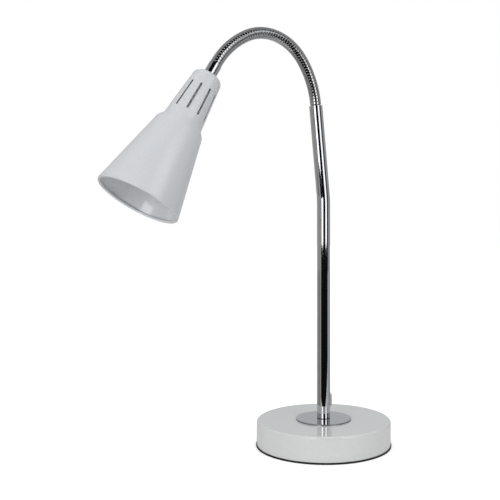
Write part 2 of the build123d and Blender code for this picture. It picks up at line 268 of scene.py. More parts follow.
# %% Disc
disc_r, disc_t, disc_edge, disc_ring = 33.3 * mm, 1.5 * mm, 0.12 * mm, 0.3 * mm
disc_top = base_top + disc_t
foot_disc = turn(
    "foot_disc",
    [(disc_r, base_top), (disc_r, disc_top - disc_ring), (disc_r, disc_top),
     (disc_r - disc_ring, disc_top), (hole_r, disc_top), (hole_r, base_top), (disc_r, base_top)],
    steps=192,
)
round_loops(foot_disc, [(disc_r, disc_top)], disc_edge, 4)
smooth(foot_disc)
print("disc faces", len(foot_disc.data.polygons))

# %% Stem
stem_r, stem_wall = 8.0 * mm, 1.0 * mm
bend_height, bend_r, tilt = 297.0 * mm, 150.0 * mm, radians(6.2)
lean_length = 113.0 * mm
end_run, halfway = 0.6 * mm, 150 * mm
gland_height, gland_reach = 56.5 * mm, 5 * mm
lean = Vector((-sin(tilt), 0, cos(tilt)))
bend_run = bend_r * tan(tilt / 2)
bend_start = bend_height - bend_run
bpy.ops.object.select_all(action="DESELECT")
bpy.ops.mesh.primitive_circle_add(vertices=128, radius=stem_r, location=(0, 0, disc_top))
stem = bpy.context.object
stem.name = stem.data.name = "stem"
bpy.ops.object.transform_apply(location=True)
bpy.ops.object.mode_set(mode="EDIT")
bpy.ops.mesh.select_all(action="SELECT")
levels = [
    disc_top, disc_top + end_run, gland_height - gland_reach, gland_height + gland_reach,
    halfway, bend_start,
]
for low, high in zip(levels, levels[1:]):
    bpy.ops.mesh.extrude_edges_move(TRANSFORM_OT_translate={"value": (0, 0, high - low)})
bpy.ops.mesh.spin(
    steps=16, angle=tilt, center=(-bend_r, 0, bend_start), axis=(0, 1, 0), dupli=False
)
for run in (lean_length - bend_run - end_run, end_run):
    bpy.ops.mesh.extrude_edges_move(TRANSFORM_OT_translate={"value": lean * run})
leave()
outward(stem)
tube = stem.modifiers.new("wall", "SOLIDIFY")
tube.thickness = stem_wall
tube.offset = -1
tube.use_even_offset = True
apply_all(stem)

# %% Hole for the cord, cut with a boolean
drill_r, drill_length, drill_middle = 3.55 * mm, 12 * mm, 8 * mm
hole_round = 0.2 * mm
bpy.ops.object.select_all(action="DESELECT")
bpy.ops.mesh.primitive_cylinder_add(
    vertices=48, radius=drill_r, depth=drill_length, location=(drill_middle, 0, gland_height),
    rotation=(0, pi / 2, 0),
)
drill = bpy.context.object
hole = stem.modifiers.new("cord hole", "BOOLEAN")
hole.object = drill
hole.operation = "DIFFERENCE"
hole.solver = "EXACT"
apply_all(stem)
bpy.data.objects.remove(drill)
rim = stem.modifiers.new("rims", "BEVEL")
rim.width = hole_round
rim.segments = 3
rim.limit_method = "ANGLE"
rim.angle_limit = radians(60)
apply_all(stem)
smooth(stem, 30)
print("stem faces", len(stem.data.polygons))

# %% [markdown]
# ## The neck
# A neck like this is a steel strip wound into a hose with broad, nearly flat ribs and narrow grooves.
# It bends at every groove. The CAD model has fourteen rigid lengths with a ball joint between each
# pair. Here a section of hose is laid over each joint, and a curve modifier bends it to the line of the
# neck. Where a joint sways the neck, the section runs from the middle of one length to the middle of
# the next and stays fixed where it lies, and so does the short one at the stem. Where another joint
# tilts it, each half rides its own length, and a ball inside fills the groove that opens. The price is
# that the ribs beside a tilted joint cut into each other.

# %% The line of the neck
lower_r, middle_r, upper_r = 100.5 * mm, 63.6 * mm, 98.8 * mm
link_count, link_length, rib_pitch = 14, 14.2 * mm, 3.55 * mm
straight_end = 2.25 * mm / 2  # the neck is straight for this length at the stem and at the ferrule
end_handle = straight_end / 3
stem_end = Vector((0, 0, bend_height)) + lean * lean_length
arcs = [(0, 4, lower_r), (4, 7, middle_r), (7, 10, middle_r), (10, link_count, upper_r)]


def heading(start, bend_r, direction, run):
    """Place and direction after a run along an arc that bends towards the front."""
    across = Vector((-direction.z, 0, direction.x))
    turned = run / bend_r
    place_there = start + direction * bend_r * sin(turned) + across * bend_r * (1 - cos(turned))
    return place_there, direction * cos(turned) + across * sin(turned)


bpy.ops.object.select_all(action="DESELECT")
bpy.ops.curve.primitive_bezier_curve_add(location=(0, 0, 0))
neck_line = bpy.context.object
neck_line.data.resolution_u = 48
direction = lean.copy()
knots = [(stem_end, direction.copy(), 0.0, end_handle)]  # place, direction, handle before and after
spot = stem_end + direction * straight_end
last_handle = end_handle
for first, last, radius in arcs:
    run = (last - first) * link_length
    handle = 4 / 3 * tan(run / radius / 4) * radius
    knots.append((spot, direction.copy(), last_handle, handle))
    spot, direction = heading(spot, radius, direction, run)
    last_handle = handle
knots.append((spot, direction.copy(), last_handle, end_handle))
knots.append((spot + direction * straight_end, direction.copy(), end_handle, 0.0))
spline = neck_line.data.splines[0]
spline.bezier_points.add(len(knots) - len(spline.bezier_points))
for point, (where, towards, before, after) in zip(spline.bezier_points, knots):
    point.handle_left_type = point.handle_right_type = "FREE"
    point.co = where
    point.handle_left = where - towards * before
    point.handle_right = where + towards * after
print("neck ends at", spot, "CAD says", neck_joints[-1])

# %% One section of hose, and half a section
crest_r, root_r, bore_r, groove_half = 6.7 * mm, 6.2 * mm, 5.7 * mm, 0.28 * mm
rib_shoulder = [  # millimetres below the crest, and past the edge of the groove
    (0.2, -0.12), (0.05, 0.04), (0.008, 0.18), (0.001, 0.38),
]
rib_rings = [(root_r, 0)]
rib_rings += [(crest_r - down * mm, groove_half + past * mm) for down, past in rib_shoulder]
rib_rings.append((crest_r, rib_pitch / 2))
rib_rings += [(r, rib_pitch - z) for r, z in reversed(rib_rings[:-1])]


def hose_section(name, ribs):
    """A straight stretch of hose along Z that starts at a groove."""
    rings = [(r, z + n * rib_pitch) for n in range(ribs) for r, z in rib_rings[(n > 0):]]
    length = ribs * rib_pitch
    rings += [(bore_r, length), (bore_r, 0), (root_r, 0)]
    return turn(name, rings, steps=72)


straight = hose_section("straight", 4)
stub = hose_section("stub", 2)
print("faces in a section", len(straight.data.polygons))

# %% Lay the sections along the neck
lay_down = Matrix.Rotation(pi / 2, 4, "Y")
neck_bodies = ["base"] + [f"link_{number:02d}" for number in range(1, link_count + 1)] + ["head"]
stiff_joints = (2, 3, 5, 6, 8, 9, 11, 12, 14)  # these tilt the neck, as joint 0 at the stem does
ball_gap = 0.04 * mm
hose_pieces = []  # each with its joint and, where it is stiff, its body


def lay(name, section, along):
    """A copy of the section, laid on the line of the neck from the given length on."""
    piece = bpy.data.objects.new(name, section.data.copy())
    bpy.context.scene.collection.objects.link(piece)
    place(piece, Matrix.Translation((along, 0, 0)) @ lay_down)
    follow = piece.modifiers.new("neck", "CURVE")
    follow.object = neck_line
    follow.deform_axis = "POS_X"
    apply_all(piece)
    smooth(piece, 40)
    return piece


for number, joint_at in enumerate(neck_joints):
    name = f"neck_hose_{number + 1:02d}"
    before_joint = straight_end + (number - 0.5) * link_length
    if number == 0:
        hose_pieces.append((lay(name, stub, straight_end), number, None))
        continue
    if number not in stiff_joints:
        hose_pieces.append((lay(name, straight, before_joint), number, None))
        continue
    hose_pieces.append((lay(name, stub, before_joint), number, neck_bodies[number]))
    if number < link_count:
        half = lay(name + "_b", stub, before_joint + link_length / 2)
        hose_pieces.append((half, number, neck_bodies[number + 1]))
    bpy.ops.mesh.primitive_uv_sphere_add(
        segments=48, ring_count=24, radius=root_r - ball_gap, location=joint_at
    )
    ball = bpy.context.object
    ball.name = ball.data.name = f"neck_ball_{number + 1:02d}"
    bpy.ops.object.transform_apply(location=True)
    smooth(ball, 180)
    hose_pieces.append((ball, number, neck_bodies[number]))
for helper in (straight, stub, neck_line):
    bpy.data.objects.remove(helper)
print("hose pieces", len(hose_pieces), [round(v, 4) for v in hose_pieces[7][0].bound_box[0]])

# %% [markdown]
# ## The ferrule
# A short turned sleeve ends the hose and carries the shade on a threaded spigot. Its upper end is
# bored to a funnel, where the last ball of the neck turns. The spigot shows only through the slots.

# %% Ferrule
shade_top = 161.0 * mm
ferrule_r, ferrule_length = 7.2 * mm, 15.8 * mm
spigot_r, spigot_length, spigot_bore = 5.0 * mm, 14.0 * mm, 3.5 * mm
funnel_r, funnel_depth = 5.6 * mm, 5.5 * mm
ferrule_ring, ferrule_round, spigot_edge = 0.6 * mm, 0.4 * mm, 0.5 * mm
ferrule_top = shade_top + ferrule_length
spigot_low = shade_top - spigot_length
ferrule = turn(
    "ferrule",
    [(spigot_bore, spigot_low), (spigot_r, spigot_low), (spigot_r, shade_top),
     (ferrule_r, shade_top), (ferrule_r, shade_top + ferrule_ring),
     (ferrule_r, ferrule_top - ferrule_ring), (ferrule_r, ferrule_top), (funnel_r, ferrule_top),
     (spigot_bore, ferrule_top - funnel_depth), (spigot_bore, spigot_low)],
    steps=96,
)
round_loops(ferrule, [(ferrule_r, shade_top), (ferrule_r, ferrule_top)], ferrule_round, 4)
round_loops(ferrule, [(spigot_r, spigot_low)], spigot_edge, 1)
smooth(ferrule)
place(ferrule, head_place)
print("ferrule faces", len(ferrule.data.polygons))

# %% [markdown]
# ## The shade
# The shade is spun from one sheet: a crown with a round shoulder, a slightly tapered collar with ten
# vent slots, a second shoulder, and a straight cone down to a rolled rim. Its profile is turned with
# wall and all, so that inside and outside are one closed shell. The slots are cut by one cutter that
# is copied round the axis, which is how a press tool would pierce them.

# %% Shade shell
wall = 0.7 * mm
crown_r, mouth_r, bead_r = 16.1 * mm, 45.8 * mm, 1.45 * mm
collar_r, collar_height = 22.1 * mm, 98.4 * mm
shoulder_r, shoulder_height = 27.0 * mm, 91.0 * mm
spigot_hole = 5.3 * mm
outline = [
    (spigot_hole, shade_top), (crown_r, shade_top), (collar_r, collar_height),
    (shoulder_r, shoulder_height), (mouth_r, bead_r),
]
bends = {1: (7.0 * mm, 14), 2: (3.5 * mm, 7), 3: (4.5 * mm, 8)}


def rounded(points, bends):
    """The profile with an arc of the given radius and number of steps at some of its corners."""
    line = []
    for number, point in enumerate(points):
        if number not in bends:
            line.append(point)
            continue
        radius, steps = bends[number]
        here, before, after = Vector(point), Vector(points[number - 1]), Vector(points[number + 1])
        back, on = (before - here).normalized(), (after - here).normalized()
        half = back.angle(on) / 2
        middle = here + (back + on).normalized() * (radius / sin(half))
        first = here + back * (radius / tan(half)) - middle
        last = here + on * (radius / tan(half)) - middle
        sweep = (atan2(last.y, last.x) - atan2(first.y, first.x) + pi) % (2 * pi) - pi
        for step in range(steps + 1):
            angle = atan2(first.y, first.x) + sweep * step / steps
            line.append((middle.x + radius * cos(angle), middle.y + radius * sin(angle)))
    return line


def inset(line, distance):
    """The same profile, moved to its right by the distance at every point."""
    moved = []
    for number, point in enumerate(line):
        ends = line[max(number - 1, 0)], line[min(number + 1, len(line) - 1)]
        along = (Vector(ends[1]) - Vector(ends[0])).normalized()
        moved.append((point[0] + along.y * distance, point[1] - along.x * distance))
    return moved


outside = rounded(outline, bends)
inside = inset(outside, wall)
bead_middle = (mouth_r - bead_r, bead_r)
bead = [  # the sheet is rolled outside, under and in again, almost to where it started
    (bead_middle[0] + bead_r * cos(radians(a)), bead_middle[1] + bead_r * sin(radians(a)))
    for a in range(-20, -330, -20)
]
shade_rings = outside[:-1] + [(mouth_r, bead_r)] + bead + list(reversed(inside))[1:]
shade_rings.append(outside[0])
shade = turn("shade_shell", shade_rings, steps=240)
print("shade rings", len(shade_rings), "faces", len(shade.data.polygons))

# %% Slots
slot_count, slot_length, slot_width = 10, 34.6 * mm, 2.6 * mm
slot_middle, slot_turn = 125.0 * mm, radians(23.1)
cutter_steps, cutter_length, cutter_out = 24, 30 * mm, 21 * mm
bpy.ops.object.select_all(action="DESELECT")
bpy.ops.mesh.primitive_cylinder_add(
    vertices=cutter_steps, radius=slot_width / 2, depth=cutter_length
)
cutter = bpy.context.object
place(
    cutter,
    Matrix.Translation((cutter_out, 0, slot_middle))
    @ Matrix.Rotation(pi / 2, 4, "Y")
    @ Matrix.Rotation(pi / cutter_steps, 4, "Z"),
)
for side in (1, -1):
    clear(cutter, "VERT")
    for vertex in cutter.data.vertices:
        vertex.select = (vertex.co.z - slot_middle) * side > 0
    bpy.ops.object.mode_set(mode="EDIT")
    bpy.ops.transform.translate(value=(0, 0, side * (slot_length - slot_width) / 2))
    leave()
cutters = []
for number in range(slot_count):
    copy = bpy.data.objects.new("cutter", cutter.data.copy())
    bpy.context.scene.collection.objects.link(copy)
    copy.matrix_world = Matrix.Rotation(slot_turn + number * 2 * pi / slot_count, 4, "Z")
    cutters.append(copy)
bpy.data.objects.remove(cutter)
only(cutters[0])
for copy in cutters:
    copy.select_set(True)
bpy.ops.object.join()
punch = bpy.context.object
slots = shade.modifiers.new("slots", "BOOLEAN")
slots.object = punch
slots.operation = "DIFFERENCE"
slots.solver = "EXACT"
apply_all(shade)
bpy.data.objects.remove(punch)
smooth(shade, 35)
place(shade, head_place)
print("shade faces", len(shade.data.polygons), "box", [round(v, 4) for v in shade.dimensions])

# %% [markdown]
# ## The lamp holder
# A moulded holder for a small screw cap bulb hangs in the collar. Its cap screws on the spigot, and
# its plain skirt fits into the cap. Inside are a steatite carrier, a sprung contact and the thin brass
# shell with the rolled thread. All of it is seen only from below and through the slots.

# %% Cap and skirt
cap_top, cap_under, skirt_under = 155.8 * mm, 140.8 * mm, 103.5 * mm
holder_r, holder_inner = 14.0 * mm, 12.4 * mm
cap_hole, cap_roof, cap_neck_r, cap_neck = 5.05 * mm, 2.5 * mm, 8 * mm, 7 * mm
cap_round, seam_round, skirt_round = 3 * mm, 0.3 * mm, 0.5 * mm
holder_cap = turn(
    "holder_cap_shell",
    [(cap_hole, cap_top), (holder_r, cap_top), (holder_r, cap_under), (holder_inner, cap_under),
     (holder_inner, cap_top - cap_roof), (cap_neck_r, cap_top - cap_roof),
     (cap_neck_r, cap_top - cap_neck), (cap_hole, cap_top - cap_neck), (cap_hole, cap_top)],
    steps=96,
)
round_loops(holder_cap, [(holder_r, cap_top)], cap_round, 6)
round_loops(holder_cap, [(holder_r, cap_under)], seam_round, 2)
smooth(holder_cap)
place(holder_cap, head_place)

tongue_r, seat_r, ledge_r, tongue = 12.35 * mm, 10.95 * mm, 9.0 * mm, 5 * mm
carrier_under, ledge_under = 129.8 * mm, 127.8 * mm
holder_skirt = turn(
    "holder_skirt_shell",
    [(holder_inner, skirt_under), (holder_r, skirt_under), (holder_r, cap_under),
     (tongue_r, cap_under), (tongue_r, cap_under + tongue), (seat_r, cap_under + tongue),
     (seat_r, carrier_under), (ledge_r, carrier_under), (ledge_r, ledge_under),
     (holder_inner, ledge_under), (holder_inner, skirt_under)],
    steps=96,
)
skirt_rims = [(holder_r, skirt_under), (holder_inner, skirt_under)]
round_loops(holder_skirt, skirt_rims, skirt_round, 3)
smooth(holder_skirt)
place(holder_skirt, head_place)
print("holder faces", len(holder_cap.data.polygons), len(holder_skirt.data.polygons))

# %% [markdown]
# ## The threaded shell
# A rolled thread is a wave in thin brass. A helix could be spun with the screw modifier, but from below
# a thread this fine looks the same as rings, and rings can be turned with the rest of the shell.

# %% Threaded shell
shell_r, shell_wall, shell_low = 7.1 * mm, 0.4 * mm, 107.8 * mm
collar_foot = carrier_under - 4.4 * mm
collar_inner = 7.9 * mm
thread_pitch, thread_depth, turns, wave_steps, plain_end = 2.82 * mm, 0.15 * mm, 5, 6, 1 * mm
shell_outer, collar_outer = shell_r + shell_wall, collar_inner + shell_wall
thread_rings = [(shell_outer, shell_low)]
for number in range(turns * wave_steps + 1):
    wave = 0.5 - 0.5 * cos(2 * pi * number / wave_steps)
    height = shell_low + plain_end + number * thread_pitch / wave_steps
    thread_rings.append((shell_outer - thread_depth * wave, height))
wall_rings = [(r - shell_wall + thread_depth, z) for r, z in thread_rings]
thread_rings += [
    (shell_outer, collar_foot - shell_wall), (collar_outer, collar_foot - shell_wall),
    (collar_outer, carrier_under), (collar_inner, carrier_under),
    (collar_inner, collar_foot), (shell_r + thread_depth, collar_foot),
]
thread_rings += list(reversed(wall_rings)) + [thread_rings[0]]
thread_shell = turn("thread_shell", thread_rings, steps=96)
smooth(thread_shell, 50)
place(thread_shell, head_place)
print("thread faces", len(thread_shell.data.polygons))

# %% [markdown]
# ## Small pieces that keep the CAD's shape
# The cord bush, the contact carrier and the sprung contact are already right in the CAD model. Its
# faces are loose triangles, which shade as facets, so a copy is merged and shaded smooth. The copy
# stands for the node.

# %% Smooth copies
def smooth_copy(node, name):
    """A merged, smoothly shaded copy of a CAD node that stands for it."""
    piece = bpy.data.objects.new(name, nodes[node].data.copy())
    bpy.context.scene.collection.objects.link(piece)
    edit(piece, "VERT")
    bpy.ops.mesh.select_all(action="SELECT")
    bpy.ops.mesh.remove_doubles(threshold=0.001 * mm)
    leave()
    smooth(piece)
    return piece


cord_bush = smooth_copy("cord_gland", "cord_bush")
carrier = smooth_copy("contact_carrier", "carrier_disc")
contact = smooth_copy("centre_contact", "contact_tongue")
print("smooth copies", len(cord_bush.data.polygons))

# %% [markdown]
# ## Node groups that several finishes share
# A clean product still isn't perfectly even. `uneven_gloss` makes the roughness drift a little across
# a surface, as handling and polishing do. `fine_grain` gives a height for the tiny waves in enamel,
# the grain in rubber or the skin of a casting. Both work on Object coordinates.

# %% Node groups
def new_group(name, inputs, outputs):
    """A shader node group with named number inputs and outputs."""
    group = bpy.data.node_groups.new(name, "ShaderNodeTree")
    for label, default in inputs:
        socket_in = group.interface.new_socket(label, in_out="INPUT", socket_type="NodeSocketFloat")
        socket_in.default_value = default
    for label in outputs:
        group.interface.new_socket(label, in_out="OUTPUT", socket_type="NodeSocketFloat")
    return group, group.nodes.new("NodeGroupInput"), group.nodes.new("NodeGroupOutput")


def noise_in(group, scale, detail):
    """A noise texture on Object coordinates inside a group."""
    coordinates = group.nodes.new("ShaderNodeTexCoord")
    noise = group.nodes.new("ShaderNodeTexNoise")
    noise.inputs["Detail"].default_value = detail
    group.links.new(coordinates.outputs["Object"], noise.inputs["Vector"])
    group.links.new(scale, noise.inputs["Scale"])
    return noise


gloss_group, gloss_in, gloss_out = new_group(
    "uneven_gloss", [("Scale", 20), ("Lowest", 0.1), ("Highest", 0.2)], ["Roughness"]
)
gloss_noise = noise_in(gloss_group, gloss_in.outputs["Scale"], 3)
gloss_range = gloss_group.nodes.new("ShaderNodeMapRange")
gloss_range.inputs["From Min"].default_value = 0.3
gloss_range.inputs["From Max"].default_value = 0.7
gloss_group.links.new(gloss_noise.outputs["Fac"], gloss_range.inputs["Value"])
gloss_group.links.new(gloss_in.outputs["Lowest"], gloss_range.inputs["To Min"])
gloss_group.links.new(gloss_in.outputs["Highest"], gloss_range.inputs["To Max"])
gloss_group.links.new(gloss_range.outputs["Result"], gloss_out.inputs["Roughness"])

grain_group, grain_in, grain_out = new_group("fine_grain", [("Scale", 400)], ["Height", "Speck"])
grain_noise = noise_in(grain_group, grain_in.outputs["Scale"], 2)
grain_speck = grain_group.nodes.new("ShaderNodeMapRange")
grain_speck.inputs["From Min"].default_value = 0.45
grain_speck.inputs["From Max"].default_value = 0.75
grain_group.links.new(grain_noise.outputs["Fac"], grain_out.inputs["Height"])
grain_group.links.new(grain_noise.outputs["Fac"], grain_speck.inputs["Value"])
grain_group.links.new(grain_speck.outputs["Result"], grain_out.inputs["Speck"])
print("groups", [group.name for group in bpy.data.node_groups])


# %% [markdown]
# ## Finishes
# Each finish is one Principled shader. Numbers that are the same all over are set on the shader
# itself, and only what changes over the surface comes from nodes: the roughness, a faint bump, and a
# slight drift in colour.

# %% A helper for finishes
def finish(name, low, high, settings, gloss, grain):
    """A material whose colour drifts between two values, with uneven gloss and a fine bump.

    gloss is the scale, the lowest and the highest roughness. grain is the scale, the strength of the
    bump and its height in millimetres.
    """
    material = bpy.data.materials.new(name)
    material.use_nodes = True
    tree = material.node_tree
    shader = tree.nodes["Principled BSDF"]
    for label, value in settings.items():
        shader.inputs[label].default_value = value
    gloss_node = tree.nodes.new("ShaderNodeGroup")
    gloss_node.node_tree = gloss_group
    for label, value in zip(("Scale", "Lowest", "Highest"), gloss):
        gloss_node.inputs[label].default_value = value
    grain_node = tree.nodes.new("ShaderNodeGroup")
    grain_node.node_tree = grain_group
    grain_node.inputs["Scale"].default_value = grain[0]
    colours = tree.nodes.new("ShaderNodeMix")
    colours.data_type = "RGBA"
    colours.inputs["A"].default_value = (*low, 1)
    colours.inputs["B"].default_value = (*high, 1)
    bump = tree.nodes.new("ShaderNodeBump")
    bump.inputs["Strength"].default_value = grain[1]
    bump.inputs["Distance"].default_value = grain[2] * mm
    tree.links.new(grain_node.outputs["Speck"], colours.inputs["Factor"])
    tree.links.new(colours.outputs["Result"], shader.inputs["Base Color"])
    tree.links.new(gloss_node.outputs["Roughness"], shader.inputs["Roughness"])
    tree.links.new(grain_node.outputs["Height"], bump.inputs["Height"])
    tree.links.new(bump.outputs["Normal"], shader.inputs["Normal"])
    return material


# %% Enamel
enamel = finish(
    "white_enamel", (0.75, 0.76, 0.76), (0.78, 0.79, 0.79),
    {"IOR": 1.5, "Coat Weight": 0.9, "Coat Roughness": 0.02},
    gloss=(14, 0.10, 0.16), grain=(260, 0.05, 0.05),
)
satin_enamel = finish(
    "satin_enamel", (0.68, 0.70, 0.73), (0.71, 0.73, 0.76),
    {"IOR": 1.5, "Coat Weight": 0.25, "Coat Roughness": 0.10},
    gloss=(16, 0.30, 0.38), grain=(420, 0.08, 0.05),
)
# Inside of the shade: a glossier coat, and a lighter colour than outside, which is painted light.
inner_enamel_painted_light = finish(
    "inner_enamel_painted_light", (0.73, 0.75, 0.77), (0.76, 0.78, 0.80),
    {"IOR": 1.5, "Coat Weight": 1.0, "Coat IOR": 1.7, "Coat Roughness": 0.03},
    gloss=(16, 0.25, 0.33), grain=(300, 0.05, 0.03),
)
print("enamels", enamel.name, satin_enamel.name, inner_enamel_painted_light.name)

# %% Metals
chrome = finish(
    "polished_chrome", (0.61, 0.62, 0.64), (0.66, 0.67, 0.69), {"Metallic": 1.0},
    gloss=(25, 0.03, 0.07), grain=(90, 0.01, 0.02),
)
# Darker, duller metal for the rim of the disc: painted shade along its edge.
rim_painted_shade = finish(
    "rim_painted_shade", (0.30, 0.31, 0.32), (0.38, 0.39, 0.40), {"Metallic": 1.0},
    gloss=(40, 0.35, 0.45), grain=(300, 0.04, 0.02),
)
hose_chrome = finish(
    "hose_chrome", (0.54, 0.54, 0.55), (0.64, 0.65, 0.66), {"Metallic": 1.0},
    gloss=(60, 0.08, 0.18), grain=(300, 0.03, 0.02),
)
steel = finish(
    "zinc_steel", (0.42, 0.43, 0.44), (0.58, 0.59, 0.60), {"Metallic": 1.0},
    gloss=(80, 0.28, 0.45), grain=(500, 0.1, 0.05),
)
casting = finish(
    "raw_casting", (0.05, 0.05, 0.052), (0.11, 0.11, 0.11), {"Metallic": 0.7},
    gloss=(120, 0.55, 0.8), grain=(700, 0.4, 0.2),
)
brass = finish(
    "plain_brass", (0.55, 0.40, 0.18), (0.78, 0.60, 0.30), {"Metallic": 1.0},
    gloss=(110, 0.18, 0.32), grain=(400, 0.05, 0.03),
)
print("metals", chrome.name, hose_chrome.name, rim_painted_shade.name, steel.name, casting.name, brass.name)

# %% Rubber, plastics and ceramic
rubber = finish(
    "pad_rubber", (0.006, 0.006, 0.006), (0.016, 0.016, 0.016), {"IOR": 1.45},
    gloss=(40, 0.55, 0.75), grain=(900, 0.3, 0.1),
)
# Near black for a band at the foot of the stem: a painted shadow where the tube meets the disc.
seam_painted_shadow = finish(
    "seam_painted_shadow", (0.010, 0.010, 0.012), (0.020, 0.020, 0.022), {"IOR": 1.45},
    gloss=(40, 0.45, 0.60), grain=(400, 0.04, 0.02),
)
milky = finish(
    "milky_plastic", (0.70, 0.71, 0.72), (0.76, 0.77, 0.78),
    {"IOR": 1.46, "Transmission Weight": 0.25},
    gloss=(60, 0.18, 0.3), grain=(500, 0.05, 0.05),
)
holder_white = finish(
    "holder_plastic", (0.76, 0.77, 0.76), (0.81, 0.82, 0.81), {"IOR": 1.5},
    gloss=(70, 0.3, 0.45), grain=(800, 0.06, 0.05),
)
steatite = finish(
    "steatite", (0.66, 0.63, 0.57), (0.76, 0.74, 0.69), {"IOR": 1.5},
    gloss=(90, 0.5, 0.65), grain=(1200, 0.15, 0.08),
)
insulation = finish(
    "wire_insulation", (0.02, 0.05, 0.20), (0.03, 0.07, 0.26), {"IOR": 1.5},
    gloss=(90, 0.3, 0.4), grain=(900, 0.05, 0.03),
)
print("materials in all", len(bpy.data.materials))

# %% [markdown]
# ## Finish, slot and body
# Each piece is listed with its finish, the record's slot that this finish stands for, the body that it
# rides on, and the CAD node that it replaces. It gets the finish and rides on the body, and the node is
# hidden.

# %% Give every piece its finish and its body
def dress(piece, material):
    """One material on the piece."""
    piece.data.materials.clear()
    piece.data.materials.append(material)


for piece, material, slot_name, body, node in (
    (base_shell, enamel, "white_paint", "base", "base_cover"),
    (foot_pad, rubber, "pad_black", "base", "base_pad"),
    (foot_disc, chrome, "chrome", "base", "stem_disc"),
    (stem, chrome, "chrome", "base", "stem_tube"),
    (cord_bush, milky, "clear_plastic", "base", "cord_gland"),
    (ferrule, chrome, "chrome", "head", "head_ferrule"),
    (shade, satin_enamel, "white_paint", "head", "shade"),
    (holder_cap, holder_white, "holder_plastic", "head", "holder_cap"),
    (holder_skirt, holder_white, "holder_plastic", "head", "holder_skirt"),
    (carrier, steatite, "ceramic", "head", "contact_carrier"),
    (thread_shell, brass, "brass", "head", "screw_shell"),
    (contact, brass, "brass", "head", "centre_contact"),
):
    dress(piece, material)
    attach(piece, body)
    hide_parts(node)

# %% [markdown]
# ## Second finishes
# Some pieces have a second finish. The disc's rim is darker and duller, which is painted shade along
# its edge. A band at the foot of the stem is near black, a painted shadow where the tube meets the
# disc. The inside of the shade has a glossier coat and a lighter colour, and the lighter colour is
# painted light. The faces are told apart by where they lie and which way they face.

# %% Second finishes
rim_band, facing_up = 0.5 * mm, 0.6
# The rim of the disc gets the darker finish: painted shade along its edge.
foot_disc.data.materials.append(rim_painted_shade)
for face in foot_disc.data.polygons:
    at_rim = face.center.xy.length > disc_r - rim_band
    face.material_index = int(at_rim and face.normal.z < facing_up)
# The lowest band of the stem gets the near-black finish: a painted shadow at the seam with the disc.
stem.data.materials.append(seam_painted_shadow)
for face in stem.data.polygons:
    face.material_index = int(face.center.z < disc_top + end_run)
# The inside faces get the glossier enamel, whose lighter colour is painted light.
shade.data.materials.append(inner_enamel_painted_light)
back_to_axis = head_place.inverted()
for face in shade.data.polygons:
    centre, facing = back_to_axis @ face.center, back_to_axis.to_3x3() @ face.normal
    face.material_index = int(centre.x * facing.x + centre.y * facing.y < 0)
print("faces inside the shade", sum(face.material_index for face in shade.data.polygons))

# %% The hose rides its bodies, or stays fixed where it lies
for piece, number, body in hose_pieces:
    dress(piece, hose_chrome)
    if body is not None:
        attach(piece, body)
    else:
        where = neck_joints[number]
        before = stem_end if number == 0 else (neck_joints[number - 1] + where) / 2
        after = (neck_joints[number + 1] + where) / 2
        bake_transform(piece)
    if number > 0 and piece.name == f"neck_hose_{number + 1:02d}":
        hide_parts(f"neck_link_{number:02d}")
print("hose dressed with", hose_chrome.name)

# %% Hidden pieces keep their CAD mesh and get a finish
hidden = {
    "bottom_plate": steel, "plate_screws": steel, "base_weight": casting, "base_washer": steel,
    "lock_washer": steel, "base_nut": steel, "base_nipple": steel, "stem_foot": steel,
    "stem_leads": insulation, "neck_insert": steel, "shade_washer": steel, "shade_nut": steel,
    "terminal_screws": brass, "head_leads": insulation,
}
for node, material in hidden.items():
    mesh = nodes[node].data
    mesh.materials.clear()
    mesh.materials.append(material)

# %% [markdown]
# ## The studio
# The lamp stands on a white floor before a white background. Polished metal shows the room round it,
# so the room is part of the look. It is laid out as a photographer's room is: a pale table that ends
# in front of the lamp, a dark room beyond it, grey walls and a grey ceiling, and two softboxes to the
# left and right of the camera. They are cards that only reflections see, and they give chrome its black
# core and its white stripes. The light comes from three large lamps that reflections don't see, so
# that what the metal shows and how bright the paint is can be set apart.

# %% World
world = bpy.data.worlds.new("studio")
bpy.context.scene.world = world
world.use_nodes = True
tree = world.node_tree
background = tree.nodes["Background"]
rays = tree.nodes.new("ShaderNodeLightPath")
seen_or_mirrored = tree.nodes.new("ShaderNodeMath")
seen_or_mirrored.operation = "MAXIMUM"
or_through = tree.nodes.new("ShaderNodeMath")
or_through.operation = "MAXIMUM"
strength = tree.nodes.new("ShaderNodeMapRange")
ambient, white = 0.45, 1.0  # what lights the lamp, and what shows
strength.inputs["To Min"].default_value = ambient
strength.inputs["To Max"].default_value = white
tree.links.new(rays.outputs["Is Camera Ray"], seen_or_mirrored.inputs[0])
tree.links.new(rays.outputs["Is Glossy Ray"], seen_or_mirrored.inputs[1])
tree.links.new(seen_or_mirrored.outputs[0], or_through.inputs[0])
tree.links.new(rays.outputs["Is Transmission Ray"], or_through.inputs[1])
tree.links.new(or_through.outputs[0], strength.inputs["Value"])
tree.links.new(strength.outputs["Result"], background.inputs["Strength"])
background.inputs["Color"].default_value = (1, 1, 1, 1)
print("world lights with", ambient, "and shows as", white)

# %% [markdown]
# ## The floor
# The photograph's floor is pure white but for the lamp's shadow. A plane of white paper catches the
# shadow. A little glow that only the camera sees lifts it to white, and more of it far off, where less
# light falls.

